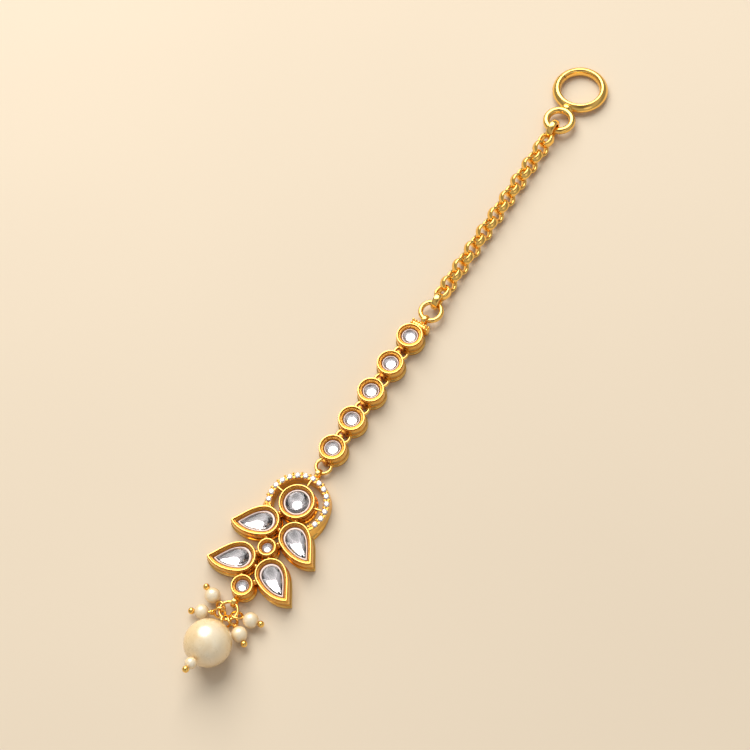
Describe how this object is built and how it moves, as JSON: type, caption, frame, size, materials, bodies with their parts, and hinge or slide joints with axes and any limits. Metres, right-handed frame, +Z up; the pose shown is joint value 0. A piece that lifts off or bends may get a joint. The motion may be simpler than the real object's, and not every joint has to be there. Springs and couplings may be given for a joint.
{
  "type": "maang tikka",
  "caption": "Forehead jewel: a kundan pendant with a crystal arch and pearl drops, on a string of round settings and a belcher chain that ends in a split ring.",
  "frame": {"origin": "centre of the pendant's round setting on its flat back, at the surface the jewel lies on", "axes": "+Y along the jewel from the pendant to the end ring, +Z up out of the stones' faces, +X to the right"},
  "size_m": [0.0174, 0.1382, 0.008],
  "materials": {
    "gold_plate": "polished yellow gold plate",
    "kundan_glass": "smooth domed clear glass over silver foil",
    "crystal": "brilliant-cut clear stone",
    "pearl": "cream pearl with a soft lustre"
  },
  "bodies": {
    "root": {"end_ring": "gold_plate", "chain": "gold_plate", "top_jump_ring": "gold_plate", "station_bezel_1": "gold_plate", "station_bezel_2": "gold_plate", "station_bezel_3": "gold_plate", "station_bezel_4": "gold_plate", "station_bezel_5": "gold_plate", "station_stone_1": "kundan_glass", "station_stone_2": "kundan_glass", "station_stone_3": "kundan_glass", "station_stone_4": "kundan_glass", "station_stone_5": "kundan_glass", "joint_ring_1": "gold_plate", "joint_ring_2": "gold_plate", "joint_ring_3": "gold_plate", "joint_ring_4": "gold_plate", "pendant_ring": "gold_plate", "pendant_frame": "gold_plate", "round_stone": "kundan_glass", "leaf_stone_upper_right": "kundan_glass", "leaf_stone_upper_left": "kundan_glass", "leaf_stone_lower_right": "kundan_glass", "leaf_stone_lower_left": "kundan_glass", "mid_stone": "kundan_glass", "low_stone": "kundan_glass", "pave_stone_01": "crystal", "pave_stone_02": "crystal", "pave_stone_03": "crystal", "pave_stone_04": "crystal", "pave_stone_05": "crystal", "pave_stone_06": "crystal", "pave_stone_07": "crystal", "pave_stone_08": "crystal", "pave_stone_09": "crystal", "pave_stone_10": "crystal", "pave_stone_11": "crystal", "pave_stone_12": "crystal", "pave_stone_13": "crystal", "pave_stone_14": "crystal", "pave_stone_15": "crystal", "drop_ring": "gold_plate", "pearl_large": "pearl", "pearl_below": "pearl", "pearl_a": "pearl", "pearl_b": "pearl", "pearl_d": "pearl", "pearl_e": "pearl", "head_pin_large": "gold_plate", "head_pin_a": "gold_plate", "head_pin_b": "gold_plate", "head_pin_d": "gold_plate", "head_pin_e": "gold_plate"}
  },
  "joints": []
}
